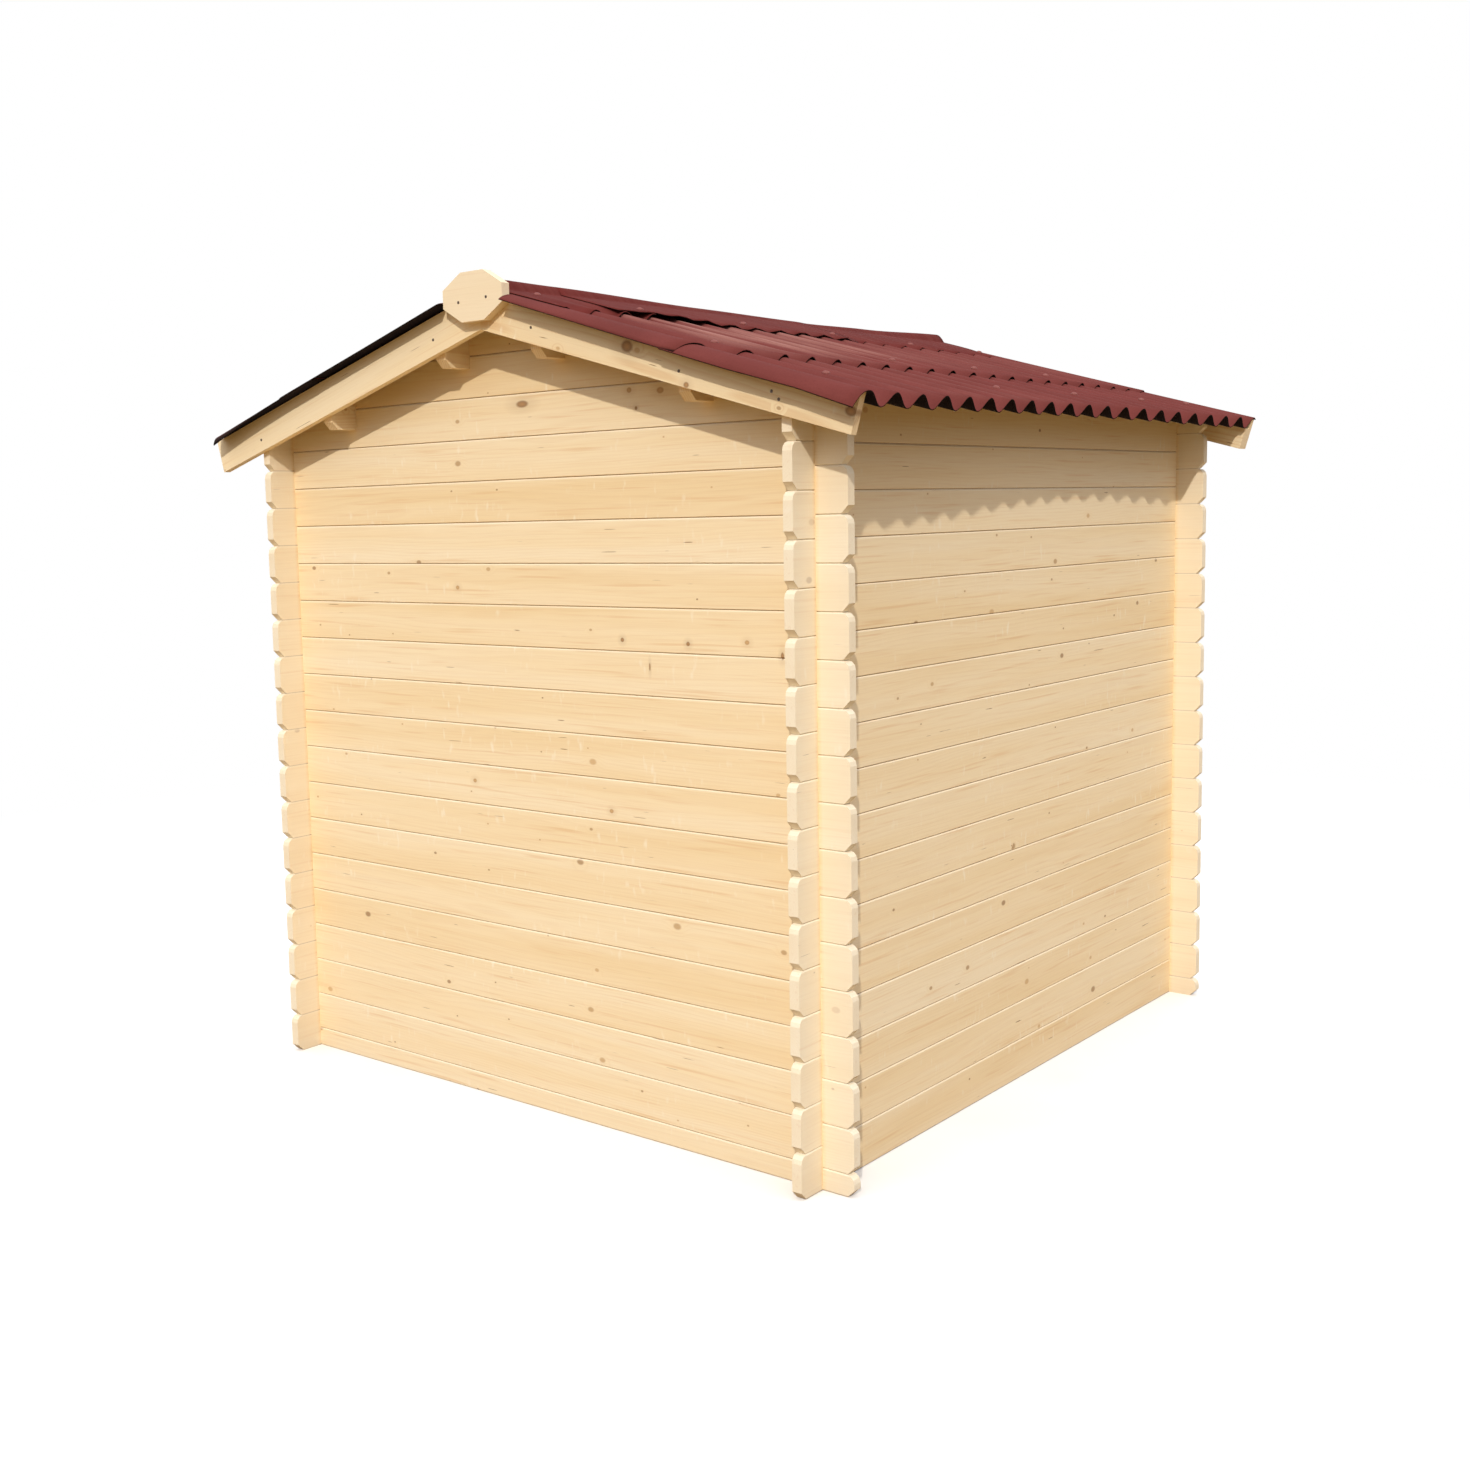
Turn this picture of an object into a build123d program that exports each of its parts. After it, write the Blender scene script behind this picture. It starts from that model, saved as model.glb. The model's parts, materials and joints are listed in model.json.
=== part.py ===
# Garden shed of interlocking logs, with a gable roof of corrugated sheets
import os
from math import atan, cos, pi, sin, sqrt

from build123d import *

# Main sizes in millimetres
wall_wide = 1970.0
wall_deep = 2160.0
log_high = 115.0
log_thick = 28.0
stub_long = 92.0
front_stub_long = 62.0
side_courses = 17
eave_rise = 10.0
roof_slope_share = 0.289
seat_gap = 0.3

# Log edges and the shaped free ends
vee_cut = 3.0
end_round = 22.0
round_steps = 3
end_cut = 21.0
lap_share = 0.25

# Purlins
purlin_thick = 36.0
purlin_high = 104.0
upper_purlin_out = 180.0
lower_purlin_out = 672.0

# Bargeboards and the apex board
board_thick = 22.0
board_below = 67.5
board_end_out = 1179.0
apex_wide = 222.0
apex_high = 130.0
apex_thick = 28.0
apex_flat = 84.0
apex_side = 48.0
apex_down = 50.0

# Corrugated sheets in two rows on each slope
sheet_thick = 3.0
wave_high = 38.0
wave_count = 20
wave_steps = 8
eave_out = 1190.0
lap_out = 810.0
lap_long = 165.0
ridge_out = 25.0
corner_cut = 118.0
flap_drop = 18.0
level_drop = 3.0
short_steps = 1

# Ridge caps
cap_thick = 3.0
cap_wing = 312.0
wing_lift = 12.0
roll_half = 40.0
roll_high = 12.0
cap_joints = (-930.0, 290.0)
cap_lap = 110.0
cap_inset = 4.0

# Doorway in the front gable
door_wide = 760.0
door_courses = 15
jamb_in = 30.0
cheek_thick = 14.0
cheek_long = 18.0
sill_high = 20.0
door_gap = 3.0
leaf_thick = 20.0
ledge_high = 95.0
ledge_thick = 20.0
ledge_inset = 30.0
ledge_rise_shares = (0.1, 0.5, 0.9)
hinge_long = 300.0
hinge_high = 36.0
hinge_thick = 4.0
plate_high = 110.0
plate_wide = 26.0
pin_radius = 7.0
handle_high = 150.0
handle_wide = 28.0
handle_grip = 12.0
handle_reach = 34.0
handle_rise_share = 0.52

# Lengths that follow from the sizes above
half_wide = wall_wide / 2
half_deep = wall_deep / 2
angle = atan(roof_slope_share)
run_share = cos(angle)
drop_share = sin(angle)
eave_top = side_courses * log_high + eave_rise
apex_top = eave_top + roof_slope_share * half_wide
overhang = half_deep + stub_long
front_overhang = half_deep + front_stub_long
board_front = overhang + board_thick
wave_pitch = 2 * (overhang + board_thick / 2) / wave_count
wave_tall = wave_high - sheet_thick
wave_lean = wave_tall * pi / wave_pitch
crest_drop = wave_tall * (1 - cos(2 * pi / wave_steps)) / 2
board_above = wave_tall - crest_drop * wave_steps * board_thick / 2 / wave_pitch - seat_gap
lap_step = sheet_thick * sqrt(1 + wave_lean * wave_lean) + seat_gap
reach = wall_wide + wall_deep
front_mid = half_deep - log_thick / 2
parts = {}


def roof_line(out):
    # Height of the roof's underside at a distance from the ridge line
    return apex_top - roof_slope_share * abs(out)


def flat_face(points, plane):
    # Closed face through points, where a triple of points makes an arc
    lines, here = [], points[0]
    for step in points[1:] + points[:1]:
        if isinstance(step[0], tuple):
            lines.append(ThreePointArc(here, step[0], step[1]))
            here = step[1]
        elif (Vector(*here) - Vector(*step)).length > seat_gap / 100:
            lines.append(Line(here, step))
            here = step
    return plane * make_face(lines)


def slab(points, plane, thick):
    # Solid of even thickness, half to each side of the plane
    return extrude(flat_face(points, plane), thick / 2, both=True)


def block(x_range, y_range, z_range):
    # Upright box between pairs of limits
    size = [high - low for low, high in (x_range, y_range, z_range)]
    mid = [(high + low) / 2 for low, high in (x_range, y_range, z_range)]
    return Pos(*mid) * Box(*size)


def keep(name, pieces):
    # Collect the solids of one named node
    found = parts.setdefault(name, [])
    for piece in pieces if isinstance(pieces, list) else [pieces]:
        found.extend(piece.solids())


# Cross-section of a log, with the outer edges cut for the vee joints
def section(high, vee_top):
    side = log_thick / 2
    points = [(side, high), (side, 0), (vee_cut - side, 0), (-side, vee_cut)]
    points += [(-side, high - vee_cut), (vee_cut - side, high)] if vee_top else [(-side, high)]
    return extrude(flat_face(points, Plane.YZ), reach, both=True)


# Side view of a log from one end to the other, notched where it crosses
def elevation(low_x, high_x, high, crossings, ends, half):
    base, top = [], []
    deep = lap_share * log_high
    level = deep if half else log_high - deep
    for cross in crossings:
        past = cross + log_thick
        if not half:
            base += [(cross, 0), (cross, deep), (past, deep), (past, 0)]
        top += [(cross, high), (cross, level), (past, level), (past, high)]
    low_end = [(low_x, high), (low_x, 0)]
    high_end = [(high_x, 0), (high_x, high)]
    turns = [pi / 2 * step / round_steps for step in range(round_steps + 1)]
    curve = [(end_round * (1 - cos(turn)), high - end_round * (1 - sin(turn))) for turn in turns]
    if "low" in ends:
        low_end = [(low_x + inset, up) for inset, up in reversed(curve)]
        low_end += [(low_x, end_cut), (low_x + end_cut, 0)]
    if "high" in ends:
        high_end = [(high_x - end_cut, 0), (high_x, end_cut)]
        high_end += [(high_x - inset, up) for inset, up in curve]
    return slab(base + high_end + top[::-1] + low_end, Plane.XZ, 2 * log_thick)


def log(low_x, high_x, high=log_high, crossings=(), ends=("low", "high"), half=False, vee_top=True):
    return elevation(low_x, high_x, high, crossings, ends, half) & section(high, vee_top)


# Everything under the roof, and the pockets that the purlins lie in
roof_under = slab([(-reach, 0), (reach, 0), (reach, roof_line(reach)), (0, apex_top),
                   (-reach, roof_line(reach))], Plane.XZ, 2 * reach)


def purlin_shape(out, lift):
    side, top = purlin_thick / 2, lift / run_share
    low = roof_line(out) - purlin_high
    points = [(out - side, low), (out + side, low),
              (out + side, roof_line(out + side) + top), (out - side, roof_line(out - side) + top)]
    return Pos(0, (front_overhang - overhang) / 2, 0) * slab(points, Plane.XZ, overhang + front_overhang)


purlins = {"upper": purlin_shape(upper_purlin_out, lap_step), "lower": purlin_shape(lower_purlin_out, 0.0)}
pockets = [piece for solid in purlins.values() for piece in (solid, mirror(solid, Plane.YZ))]

# Purlins with the lower corner of each end cut back
end_wedge = slab([(-overhang, 0), (-overhang + end_cut, 0), (-overhang, end_cut)], Plane.YZ, reach)
for name, out in (("upper", upper_purlin_out), ("lower", lower_purlin_out)):
    wedge = Pos(0, 0, roof_line(out) - purlin_high) * end_wedge
    solid = purlins[name] - wedge - Pos(0, front_overhang - overhang, 0) * mirror(wedge, Plane.XZ)
    keep(f"right_{name}_purlin", solid)
    keep(f"left_{name}_purlin", mirror(solid, Plane.YZ))

# Side walls of full courses, the top one bevelled to the roof
side_cross = (-half_deep, half_deep - log_thick)
side_log = log(-overhang, front_overhang, crossings=side_cross)
top_high = log_high + eave_rise + roof_slope_share * log_thick
top_log = log(-overhang, front_overhang, high=top_high, crossings=side_cross, vee_top=False)
shift = Pos(half_wide - log_thick / 2, 0, 0) * Rot(0, 0, 90)
for course in range(side_courses):
    low = course * log_high
    solid = Pos(0, 0, low) * shift * (top_log if course == side_courses - 1 else side_log)
    if course == side_courses - 1:
        solid = solid & roof_under
    row = "odd" if course % 2 == 0 else "even"
    keep(f"right_wall_{row}_logs", solid)
    keep(f"left_wall_{row}_logs", mirror(solid, Plane.YZ))

# Gable walls, which start with half a course and run up to the ridge
gable_cross = (-half_wide, half_wide - log_thick)
gable_end = half_wide + stub_long
gable_courses = int((apex_top - log_high / 2) // log_high) + 1
door_half = door_wide / 2
for course in range(gable_courses + 1):
    low = (course - 0.5) * log_high if course else 0.0
    last = course == gable_courses
    if course == 0:
        whole = log(-gable_end, gable_end, log_high / 2, gable_cross, half=True)
    elif low < eave_top:
        whole = log(-gable_end, gable_end, log_high, gable_cross)
    else:
        whole = log(-half_wide, half_wide, 2 * log_high if last else log_high, ends=(), vee_top=not last)
    if low + log_high > eave_top - roof_slope_share * gable_end:
        whole = Pos(0, 0, low) * whole & roof_under
        for pocket in pockets:
            whole = whole - pocket
    else:
        whole = Pos(0, 0, low) * whole
    row = "odd" if course % 2 == 0 else "even"
    keep(f"back_wall_{row}_logs", Pos(0, -front_mid, 0) * whole)
    whole = mirror(whole, Plane.XZ)
    if 0 < course <= door_courses:
        whole = whole - block((-door_half, door_half), (-log_thick, log_thick), (low, low + log_high))
    keep(f"front_wall_{row}_logs", Pos(0, front_mid, 0) * whole)

# Bargeboards with ends square to the slope, thicker under the sheets at the front,
# and the eight-sided apex board at the back
drop = board_below / run_share
rise = board_above / run_share
foot = board_end_out - board_below * drop_share
head = board_end_out + board_above * drop_share
heel = board_end_out - seat_gap * drop_share
lower_edge = [(0, apex_top - drop), (foot, roof_line(foot) - drop)]
outline = lower_edge + [(head, roof_line(head) + rise), (0, apex_top + rise)]
inner = lower_edge + [(heel, roof_line(heel) - seat_gap), (0, apex_top - seat_gap)]
board = Pos(0, overhang + board_thick / 2, 0) * slab(outline, Plane.XZ, board_thick)
batten = Pos(0, (overhang + front_overhang) / 2, 0) * slab(inner, Plane.XZ, overhang - front_overhang)
apex_low = apex_top - apex_down
corner = [(apex_flat / 2, 0), (apex_wide / 2, (apex_high - apex_side) / 2),
          (apex_wide / 2, (apex_high + apex_side) / 2), (apex_flat / 2, apex_high)]
eight = corner + [(-out, up) for out, up in reversed(corner)]
badge = Pos(0, board_front + apex_thick / 2, apex_low) * slab(eight, Plane.XZ, apex_thick)
for wall in ("front", "back"):
    solid = board + batten if wall == "front" else mirror(board, Plane.XZ)
    keep(f"{wall}_right_bargeboard", solid)
    keep(f"{wall}_left_bargeboard", mirror(solid, Plane.YZ))
keep("back_apex_board", mirror(badge, Plane.XZ))


# Corrugated sheets, drawn across the waves and drawn out down the slope, where
# the half wave outside each bargeboard has a drop of its own
def wave_points(back_drop, back_steps, front_drop, front_steps):
    under, over = [], []
    half = wave_steps // 2
    total = (wave_count + 1) * wave_steps
    for step in range(half - back_steps, total - half + front_steps + 1):
        turn = 2 * pi * step / wave_steps
        along = (step / total - 0.5) * wave_pitch * (wave_count + 1)
        fall = back_drop if step < half else front_drop if step > total - half else wave_tall
        low = wave_tall - fall * (1 + cos(turn)) / 2
        lean = wave_lean * sin(turn) * fall / wave_tall
        under.append((along, low))
        over.append((along, low + sheet_thick * sqrt(1 + lean * lean)))
    return under + list(reversed(over))


def sheet(start_out, stop_out, lift, verges):
    start = start_out / run_share
    down = Vector(run_share, 0, -drop_share)
    up = Vector(drop_share, 0, run_share)
    origin = Vector(0, 0, apex_top) + down * start + up * lift
    plane = Plane(origin=origin, x_dir=(0, 1, 0), z_dir=down)
    return extrude(plane * make_face(Polyline(*wave_points(*verges), close=True)), (stop_out - start_out) / run_share)


right_verges = (wave_tall, 2 * short_steps, wave_tall, short_steps)
left_verges = (level_drop, wave_steps // 2, flap_drop, wave_steps // 2)
corner = block((0, corner_cut), (-reach, seat_gap - board_front), (0, reach))
for name, verges in (("right", right_verges), ("left", left_verges)):
    lower = sheet(lap_out - lap_long, eave_out, 0.0, verges)
    upper = sheet(ridge_out, lap_out, lap_step, verges) - corner
    keep(f"{name}_lower_roof_sheet", lower if name == "right" else mirror(lower, Plane.YZ))
    keep(f"{name}_upper_roof_sheet", upper if name == "right" else mirror(upper, Plane.YZ))

# Ridge caps with flat wings and a rounded roll, the middle one lapping both others
cap_base = apex_top + (wave_high + lap_step + seat_gap) / run_share
cap_step = cap_thick / run_share + seat_gap
edge_out = cap_wing * run_share


def cap(start, stop, layer):
    low = cap_base + layer * cap_step
    high = low + cap_thick / run_share
    roll = roll_half + layer * (cap_thick + seat_gap)
    wide = roll + cap_thick
    slope = roof_slope_share
    down = slope * edge_out - wing_lift
    points = [(-edge_out, low - down), (-roll, low - slope * roll),
              ((0, low + roll_high), (roll, low - slope * roll)), (edge_out, low - down),
              (edge_out, high - down), (wide, high - slope * wide),
              ((0, low + roll_high + cap_thick), (-wide, high - slope * wide)),
              (-edge_out, high - down)]
    return Pos(0, (start + stop) / 2, 0) * slab(points, Plane.XZ, stop - start)


cap_end = board_front - cap_inset
keep("back_ridge_cap", cap(-cap_end, cap_joints[0] + cap_lap, 0))
keep("middle_ridge_cap", cap(cap_joints[0], cap_joints[1], 1))
keep("front_ridge_cap", cap(cap_joints[1] - cap_lap, cap_end, 0))

# Door frame, whose jambs and head are grooved round the ends of the logs
door_low = log_high / 2
door_top = door_low + door_courses * log_high
frame_back = front_mid - log_thick / 2 - cheek_thick
frame_front = front_mid + log_thick / 2 + cheek_thick
clear_half = door_half - jamb_in
cheeks = ((frame_back, front_mid - log_thick / 2), (front_mid + log_thick / 2, frame_front))
jamb = block((clear_half, door_half), (frame_back, frame_front), (door_low, door_top - jamb_in))
header = block((-door_half, door_half), (frame_back, frame_front), (door_top - jamb_in, door_top))
for cheek in cheeks:
    jamb = jamb + block((door_half, door_half + cheek_long), cheek, (door_low, door_top - jamb_in))
    wide = door_half + cheek_long
    header = header + block((-wide, wide), cheek, (door_top - jamb_in, door_top + cheek_long))
keep("door_right_jamb", jamb)
keep("door_left_jamb", mirror(jamb, Plane.YZ))
keep("door_head", header)
keep("door_sill", block((-clear_half, clear_half), (frame_back, frame_front), (door_low, door_low + sill_high)))

# Door leaf with ledges and a brace on its inner face
leaf_half = clear_half - door_gap
leaf_low = door_low + sill_high + door_gap
leaf_top = door_top - jamb_in - door_gap
leaf_back = frame_front - leaf_thick
leaf_high = leaf_top - leaf_low
keep("door_leaf", block((-leaf_half, leaf_half), (leaf_back, frame_front), (leaf_low, leaf_top)))
ledge_half = leaf_half - ledge_inset
ledge_y = (leaf_back - ledge_thick, leaf_back)
ledge_mids = [leaf_low + share * leaf_high for share in ledge_rise_shares]
for mid in ledge_mids:
    keep("door_ledges", block((-ledge_half, ledge_half), ledge_y, (mid - ledge_high / 2, mid + ledge_high / 2)))
for low_mid, high_mid in zip(ledge_mids, ledge_mids[1:]):
    low, high = low_mid + ledge_high / 2, high_mid - ledge_high / 2
    points = [(ledge_half, low), (ledge_half, low + ledge_high), (ledge_high - ledge_half, high),
              (-ledge_half, high), (-ledge_half, high - ledge_high), (ledge_half - ledge_high, low)]
    mid_y = leaf_back - ledge_thick / 2
    keep("door_braces", Pos(0, mid_y, 0) * slab(points, Plane.XZ, ledge_thick))

# Tee hinges and a pull handle on the outer face
face = frame_front + hinge_thick / 2
pin_out = leaf_half + door_gap / 2
for name, mid in (("lower", ledge_mids[0]), ("upper", ledge_mids[-1])):
    strap = [(pin_out, mid - hinge_high / 2), (pin_out, mid + hinge_high / 2),
             (pin_out - hinge_long, mid + hinge_high / 4), (pin_out - hinge_long, mid - hinge_high / 4)]
    hinge = Pos(0, face, 0) * slab(strap, Plane.XZ, hinge_thick)
    plate = (mid - plate_high / 2, mid + plate_high / 2)
    hinge = hinge + block((pin_out, pin_out + plate_wide), (frame_front, frame_front + hinge_thick), plate)
    pin = Pos(pin_out, frame_front + pin_radius, mid) * Cylinder(pin_radius, plate_high)
    keep(f"{name}_door_hinge", hinge + pin)
handle_out = -leaf_half + 2 * handle_wide
handle_mid = leaf_low + handle_rise_share * leaf_high
plate = block((handle_out - handle_wide / 2, handle_out + handle_wide / 2),
              (frame_front, frame_front + hinge_thick), (handle_mid - handle_high / 2, handle_mid + handle_high / 2))
grip_x = (handle_out - handle_grip / 2, handle_out + handle_grip / 2)
grip_z = (handle_mid - handle_high / 3, handle_mid + handle_high / 3)
bow = block(grip_x, (frame_front, frame_front + handle_reach), grip_z)
hollow_z = (grip_z[0] + handle_grip, grip_z[1] - handle_grip)
bow = bow - block(grip_x, (frame_front, frame_front + handle_reach - handle_grip), hollow_z)
keep("door_handle", plate + bow)

# One file for each node
os.makedirs("parts", exist_ok=True)
for name, solids in parts.items():
    export_step(Compound(solids) if len(solids) > 1 else solids[0], f"parts/{name}.step")
    print(name, len(solids))
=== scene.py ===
# %% [markdown]
# # A garden shed of interlocking spruce logs
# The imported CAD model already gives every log, purlin, board and sheet its shape
# and place. This lesson dresses it: smooth corrugated roof sheets, sagging ridge
# caps, the nails, the boards of the door, and a finish for every surface. All
# lengths are in metres, Z is up, and the blank back gable faces -Y.

# %% Load the frame
import json
import math

import bmesh
import bpy
from mathutils import Euler, Matrix, Vector

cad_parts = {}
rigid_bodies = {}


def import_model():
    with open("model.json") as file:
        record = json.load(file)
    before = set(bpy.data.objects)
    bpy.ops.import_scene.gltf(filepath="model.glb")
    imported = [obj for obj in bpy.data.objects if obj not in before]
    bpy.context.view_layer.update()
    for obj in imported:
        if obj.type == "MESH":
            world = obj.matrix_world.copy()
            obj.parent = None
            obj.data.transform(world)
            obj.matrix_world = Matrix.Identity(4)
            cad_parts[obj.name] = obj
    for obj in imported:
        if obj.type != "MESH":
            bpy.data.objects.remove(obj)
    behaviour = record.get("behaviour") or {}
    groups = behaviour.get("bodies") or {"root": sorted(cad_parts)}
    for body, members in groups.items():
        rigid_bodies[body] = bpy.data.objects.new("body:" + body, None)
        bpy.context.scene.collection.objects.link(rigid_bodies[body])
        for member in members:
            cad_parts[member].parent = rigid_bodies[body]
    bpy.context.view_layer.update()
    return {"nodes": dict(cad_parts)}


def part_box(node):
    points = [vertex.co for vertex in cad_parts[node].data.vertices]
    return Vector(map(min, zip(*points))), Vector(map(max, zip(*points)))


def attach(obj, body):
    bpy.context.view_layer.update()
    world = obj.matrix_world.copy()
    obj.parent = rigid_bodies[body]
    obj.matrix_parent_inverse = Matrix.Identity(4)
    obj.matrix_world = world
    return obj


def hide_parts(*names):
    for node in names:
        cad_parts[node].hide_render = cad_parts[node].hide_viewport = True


for spare in list(bpy.data.objects):
    bpy.data.objects.remove(spare)
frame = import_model()
nodes = frame["nodes"]
scene = bpy.context.scene


def rounded(box):
    return [[round(v, 3) for v in corner] for corner in box]


# %% [markdown]
# ## The camera
# A camera could be placed by eye, but then every edge would be a little off. Here
# its place, turn and focal length were fitted to joints and corners of the shed that
# show in the picture. The small shift puts the shed where the picture has it.

# %% Camera
picture_wide, picture_high = 1470, 1471
focal_pixels = 1664.9
axis_pixel = (620, 710)
camera_place = (3.2217, -4.3928, 1.6784)
yaw, pitch, roll = -0.7127, -0.1164, -0.0255
camera_data = bpy.data.cameras.new("Camera")
camera_data.sensor_fit = "HORIZONTAL"
camera_data.sensor_width = 36.0
camera_data.lens = focal_pixels * camera_data.sensor_width / picture_wide
camera_data.shift_x = (picture_wide / 2 - axis_pixel[0]) / picture_wide
camera_data.shift_y = (axis_pixel[1] - picture_high / 2) / picture_wide
ahead = Vector((math.sin(yaw) * math.cos(pitch),
                math.cos(yaw) * math.cos(pitch), math.sin(pitch)))
level = Vector((math.cos(yaw), -math.sin(yaw), 0))
above = level.cross(ahead)
side_axis = level * math.cos(roll) + above * math.sin(roll)
up_axis = above * math.cos(roll) - level * math.sin(roll)
camera = bpy.data.objects.new("Camera", camera_data)
turn = Matrix((side_axis, up_axis, -ahead)).transposed().to_4x4()
camera.matrix_world = Matrix.Translation(camera_place) @ turn
scene.collection.objects.link(camera)
scene.camera = camera
scene.view_settings.view_transform = "Standard"
print("lens", round(camera_data.lens, 2), "mm, shift",
      round(camera_data.shift_x, 3), round(camera_data.shift_y, 3))

# %% [markdown]
# ## Small helpers for node trees
# A material is a tree of nodes. Adding them one by one takes many lines, so one
# function adds a node, sets its properties and fills or links its inputs. Short
# forms of it do sums, ranges and mixes. Another function turns the sRGB hex colours
# of a paint card into the linear values Blender mixes.

# %% Node helpers and colours
def linear(hex_colour):
    parts = [int(hex_colour[i:i + 2], 16) / 255 for i in (1, 3, 5)]
    return [p / 12.92 if p <= 0.04045 else ((p + 0.055) / 1.055) ** 2.4 for p in parts] + [1.0]


def grey(value):
    return (value, value, value, 1)


def node(tree, kind, inputs=None, out=0, stops=None, **settings):
    made = tree.nodes.new(kind if kind.startswith("Node") else "ShaderNode" + kind)
    for name, value in settings.items():
        setattr(made, name, value)
    for key, value in (inputs or {}).items():
        if isinstance(value, bpy.types.NodeSocket):
            tree.links.new(value, made.inputs[key])
        else:
            made.inputs[key].default_value = value
    for spot, (place, colour) in enumerate(stops or []):
        band = made.color_ramp.elements
        stop = band[spot] if spot < 2 else band.new(place)
        stop.position, stop.color = place, colour
    return made.outputs[out] if made.outputs else made


def maths(tree, operation, *values):
    return node(tree, "Math", dict(enumerate(values)), operation=operation)


def scaled(tree, vector, factors):
    return node(tree, "VectorMath", {0: vector, 1: factors}, operation="MULTIPLY")


def ranged(tree, value, low, high, first=0.0, last=1.0, smooth=False):
    # Goes from first to last while the value goes from low to high
    return node(tree, "MapRange", {0: value, 1: low, 2: high, 3: first, 4: last},
                interpolation_type="SMOOTHSTEP" if smooth else "LINEAR")


def blend(tree, share, colour, other):
    return node(tree, "Mix", {0: share, 6: colour, 7: other}, out=2, data_type="RGBA")


print("white in linear light:", linear("#FFFFFF")[:3])


# %% Material helpers
def new_material(name):
    made = bpy.data.materials.new(name)
    made.use_nodes = True
    made.node_tree.nodes.clear()
    return made, made.node_tree


def surfaced(tree, height, strength, distance, inputs):
    # Ends a material: relief from a height, then the surface itself
    bump = node(tree, "Bump", {"Strength": strength, "Distance": distance, "Height": height})
    shade = node(tree, "BsdfPrincipled", {**inputs, "Normal": bump})
    node(tree, "OutputMaterial", {"Surface": shade})


def dress(names, material):
    for name in names:
        nodes[name].data.materials.clear()
        nodes[name].data.materials.append(material)


print("helpers ready")

# %% [markdown]
# ## Floor, background and light
# The shed stands on a plain pale floor that fades to white a few metres out, so
# no horizon shows. One lamp stands in for the sun on the right, small enough to
# draw the scalloped shadow of the eave, and a pale world, brighter overhead, fills
# the shade. World and floor are white only where the camera or a reflection looks at
# them: as a source of light the floor is as dull as bare earth, or the eaves would glow.

# %% World
fill_low, fill_high = 0.16, 1.34
world = bpy.data.worlds.new("Studio")
world.use_nodes = True
scene.world = world
tree = world.node_tree
tree.nodes.clear()


def seen_directly(tree):
    path = tree.nodes.new("ShaderNodeLightPath").outputs
    seen = maths(tree, "MAXIMUM", path["Is Camera Ray"], path["Is Glossy Ray"])
    return maths(tree, "MAXIMUM", seen, path["Is Transmission Ray"])


height = node(tree, "SeparateXYZ", {0: node(tree, "TexCoord", out=0)}, out=2)
strength = ranged(tree, height, 0.05, 0.6, fill_low, fill_high)
fill = node(tree, "Background", {"Color": linear("#F1F6FF"), "Strength": strength})
white = node(tree, "Background", {"Color": grey(1), "Strength": 1.0})
both = node(tree, "MixShader", {0: seen_directly(tree), 1: fill, 2: white})
node(tree, "OutputWorld", {"Surface": both})
print("world fill", fill_low, "to", fill_high, "and white to the camera")

# %% Key lamp
light_way = Vector((-75, 125, -99))
key_data = bpy.data.lights.new("Key", "SUN")
key_data.energy = 2.05
key_data.angle = math.radians(1.2)
key_data.color = linear("#FFF7EA")[:3]
key = bpy.data.objects.new("Key", key_data)
key.rotation_euler = light_way.to_track_quat("-Z", "Y").to_euler()
scene.collection.objects.link(key)
print("key lamp shines towards", [round(v, 2) for v in light_way.normalized()])

# %% Floor
floor_radius = 60.0
fade_from, fade_to = 2.2, 6.0
floor_material, tree = new_material("Pale studio floor")
where = node(tree, "TexCoord", out=3)
far = node(tree, "VectorMath", {0: where}, out=1, operation="LENGTH")
seen = seen_directly(tree)
fade = maths(tree, "MULTIPLY", ranged(tree, far, fade_from, fade_to, smooth=True), seen)
grit = node(tree, "TexNoise", {"Vector": where, "Scale": 3.0, "Detail": 2.0})
tone = node(tree, "ValToRGB", {0: grit}, stops=[(0.3, linear("#F6F6F5")), (0.7, linear("#FAFAFA"))])
tone = blend(tree, seen, linear("#8C6C38"), tone)
matt = node(tree, "BsdfPrincipled", {"Base Color": tone, "Roughness": 0.9, "Specular IOR Level": 0.1})
glow = node(tree, "Emission", {"Color": grey(1), "Strength": 1.0})
mixed = node(tree, "MixShader", {0: fade, 1: matt, 2: glow})
node(tree, "OutputMaterial", {"Surface": mixed})
bm = bmesh.new()
bmesh.ops.create_circle(bm, cap_ends=True, segments=96, radius=floor_radius)
floor_mesh = bpy.data.meshes.new("Floor")
bm.to_mesh(floor_mesh)
bm.free()
floor_mesh.materials.append(floor_material)
floor = bpy.data.objects.new("Floor", floor_mesh)
scene.collection.objects.link(floor)
print("floor radius", floor_radius, "m")

# %% [markdown]
# ## Planed spruce
# Almost everything here is planed spruce: a pale cream softwood with soft bands,
# small brown knots, pale spike marks across the grain and a few fine cracks. A flat
# wood picture would repeat from log to log, so the wood is drawn as a solid: rings
# lie round a pith that wanders along each log, and a knot bends the rings that pass
# it. The same rings then also show on the sawn ends. Real rings are 2 to 4 mm apart;
# they are drawn at 7 mm, the finest that still shows at this distance. A figure value
# makes the grain of a thin board bolder than that of a log.

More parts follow.
